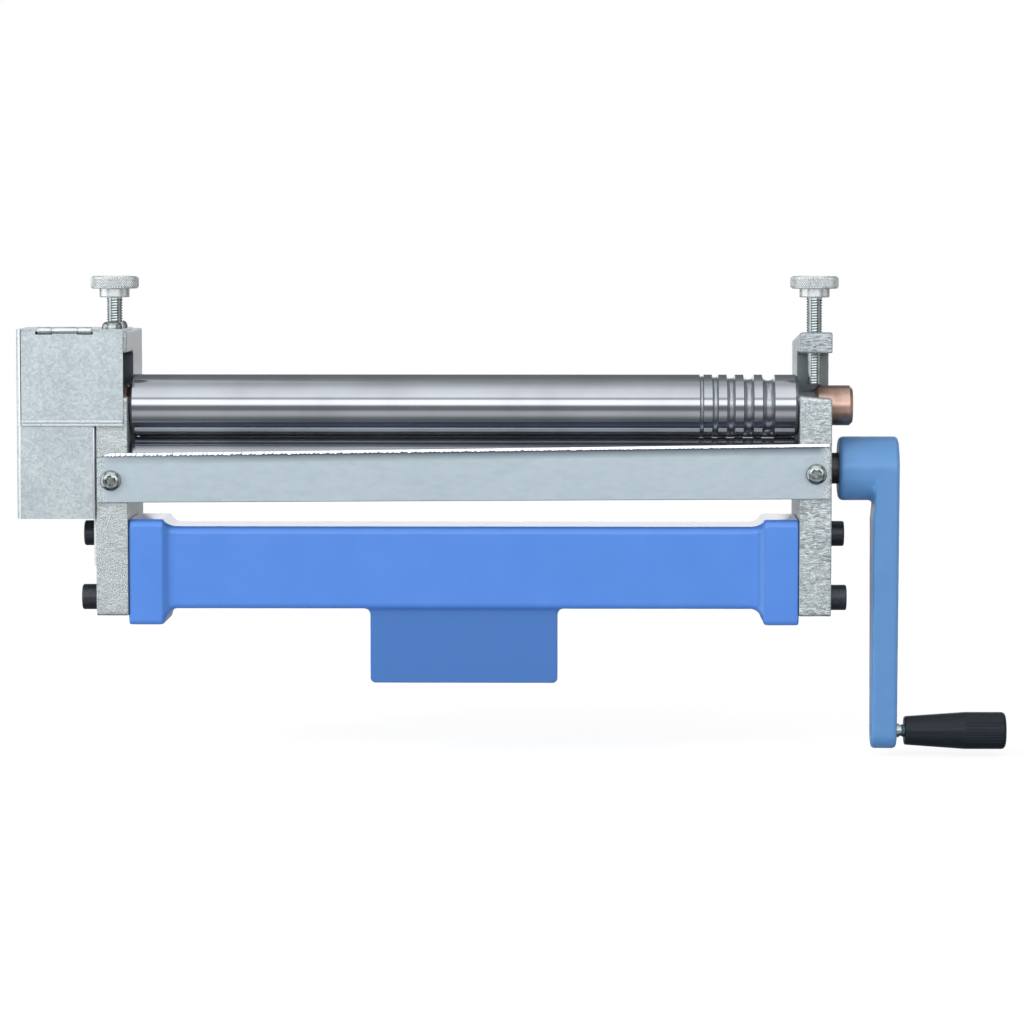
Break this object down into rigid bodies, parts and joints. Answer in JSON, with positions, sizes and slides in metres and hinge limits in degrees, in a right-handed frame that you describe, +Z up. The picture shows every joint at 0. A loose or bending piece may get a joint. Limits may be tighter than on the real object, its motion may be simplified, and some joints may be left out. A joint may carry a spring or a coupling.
{
  "type": "slip roll machine",
  "caption": "Hand-cranked slip roll for a bench vice: geared pinch rolls, wire grooves, a rear bending roll and an upper roll that lifts out of hooked side plates",
  "frame": {"origin": "middle of the vice lug's bottom face", "axes": "+X along the rolls towards the crank, +Y to the rear, +Z up"},
  "size_m": [0.4747, 0.1081, 0.2283],
  "materials": {
    "blue_enamel": "glossy blue enamel on cast iron",
    "blue_enamel_crank": "glossy blue enamel on cast iron, a little greyer than the base",
    "zinc_casting": "zinc plated over a rough cast skin",
    "galvanised_sheet": "galvanised sheet, fine mottled grain",
    "galvanised_strip": "smooth galvanised bar with a sheared bevel",
    "zinc_screws": "bright zinc plate",
    "zinc_knurled": "bright zinc plate on turned steel, diamond knurled rim",
    "roll_steel": "fine ground steel",
    "gear_steel": "machine cut steel, lightly oiled",
    "bronze": "turned bronze, dull",
    "black_oxide": "black oxide steel",
    "black_plastic": "satin black moulded plastic"
  },
  "bodies": {
    "frame": {"base_casting": "blue_enamel", "left_side_plate": "zinc_casting", "right_side_plate": "zinc_casting", "base_bolts": "black_oxide", "left_lower_bush": "bronze", "right_lower_bush": "bronze", "guard_strip": "galvanised_strip", "guard_screws": "zinc_screws", "cover_box": "galvanised_sheet", "cover_mounting_plate": "galvanised_sheet", "cover_screws": "zinc_screws", "hinge_fixed_leaf": "zinc_screws", "hinge_pin": "zinc_screws", "left_rear_keeper": "zinc_casting", "right_rear_keeper": "zinc_casting", "keeper_screws": "black_oxide"},
    "flap": {"cover_flap": "galvanised_sheet", "hinge_flap_leaf": "zinc_screws"},
    "crank": {"lower_roll": "roll_steel", "lower_gear": "gear_steel", "lower_gear_key": "gear_steel", "lower_retaining_ring": "black_oxide", "crank_arm": "blue_enamel_crank", "crank_set_screw": "black_oxide", "handle_spindle": "zinc_screws"},
    "grip": {"handle_grip": "black_plastic"},
    "upper_bushes": {"left_upper_bush": "bronze", "right_upper_bush": "bronze"},
    "upper_roll_set": {"upper_roll": "roll_steel", "upper_gear": "gear_steel", "upper_gear_key": "gear_steel", "upper_retaining_ring": "black_oxide"},
    "left_top_screw": {"left_thumbscrew": "zinc_knurled"},
    "right_top_screw": {"right_thumbscrew": "zinc_knurled"},
    "rear_bushes": {"left_rear_bush": "bronze", "right_rear_bush": "bronze"},
    "rear_roll_set": {"rear_roll": "roll_steel"},
    "left_back_screw": {"left_rear_screw": "zinc_knurled"},
    "right_back_screw": {"right_rear_screw": "zinc_knurled"}
  },
  "joints": [
    {"name": "crank_turn", "type": "hinge", "parent": "frame", "child": "crank", "pos_m": [0, -0.004, 0.103], "axis": [1, 0, 0], "continuous": true},
    {"name": "grip_turn", "type": "hinge", "parent": "crank", "child": "grip", "pos_m": [0.2368, -0.004, -0.024], "axis": [1, 0, 0], "continuous": true},
    {"name": "upper_lift", "type": "slide", "parent": "frame", "child": "upper_bushes", "axis": [0, 0, 1], "range_m": [0, 0.0146]},
    {"name": "upper_roll_turn", "type": "hinge", "parent": "upper_bushes", "child": "upper_roll_set", "pos_m": [0, -0.004, 0.1333], "axis": [1, 0, 0], "continuous": true},
    {"name": "left_top_screw_travel", "type": "slide", "parent": "frame", "child": "left_top_screw", "axis": [0, 0, 1], "range_m": [0, 0.0146]},
    {"name": "right_top_screw_travel", "type": "slide", "parent": "frame", "child": "right_top_screw", "axis": [0, 0, 1], "range_m": [0, 0.0146]},
    {"name": "rear_travel", "type": "slide", "parent": "frame", "child": "rear_bushes", "axis": [0, -0.9063, 0.4226], "range_m": [-0.0055, 0.007]},
    {"name": "rear_roll_turn", "type": "hinge", "parent": "rear_bushes", "child": "rear_roll_set", "pos_m": [0, 0.031, 0.112], "axis": [1, 0, 0], "continuous": true},
    {"name": "left_back_screw_travel", "type": "slide", "parent": "frame", "child": "left_back_screw", "axis": [0, -0.9063, 0.4226], "range_m": [-0.0055, 0.007]},
    {"name": "right_back_screw_travel", "type": "slide", "parent": "frame", "child": "right_back_screw", "axis": [0, -0.9063, 0.4226], "range_m": [-0.0055, 0.007]},
    {"name": "flap_hinge", "type": "hinge", "parent": "frame", "child": "flap", "pos_m": [-0.1901, -0.0228, 0.1696], "axis": [-1, 0, 0], "range_deg": [0, 170]}
  ],
  "couplings": [
    {"joint": "upper_roll_turn", "follows": "crank_turn", "ratio": -1},
    {"joint": "left_top_screw_travel", "follows": "upper_lift", "ratio": 1},
    {"joint": "right_top_screw_travel", "follows": "upper_lift", "ratio": 1},
    {"joint": "left_back_screw_travel", "follows": "rear_travel", "ratio": 1},
    {"joint": "right_back_screw_travel", "follows": "rear_travel", "ratio": 1}
  ]
}
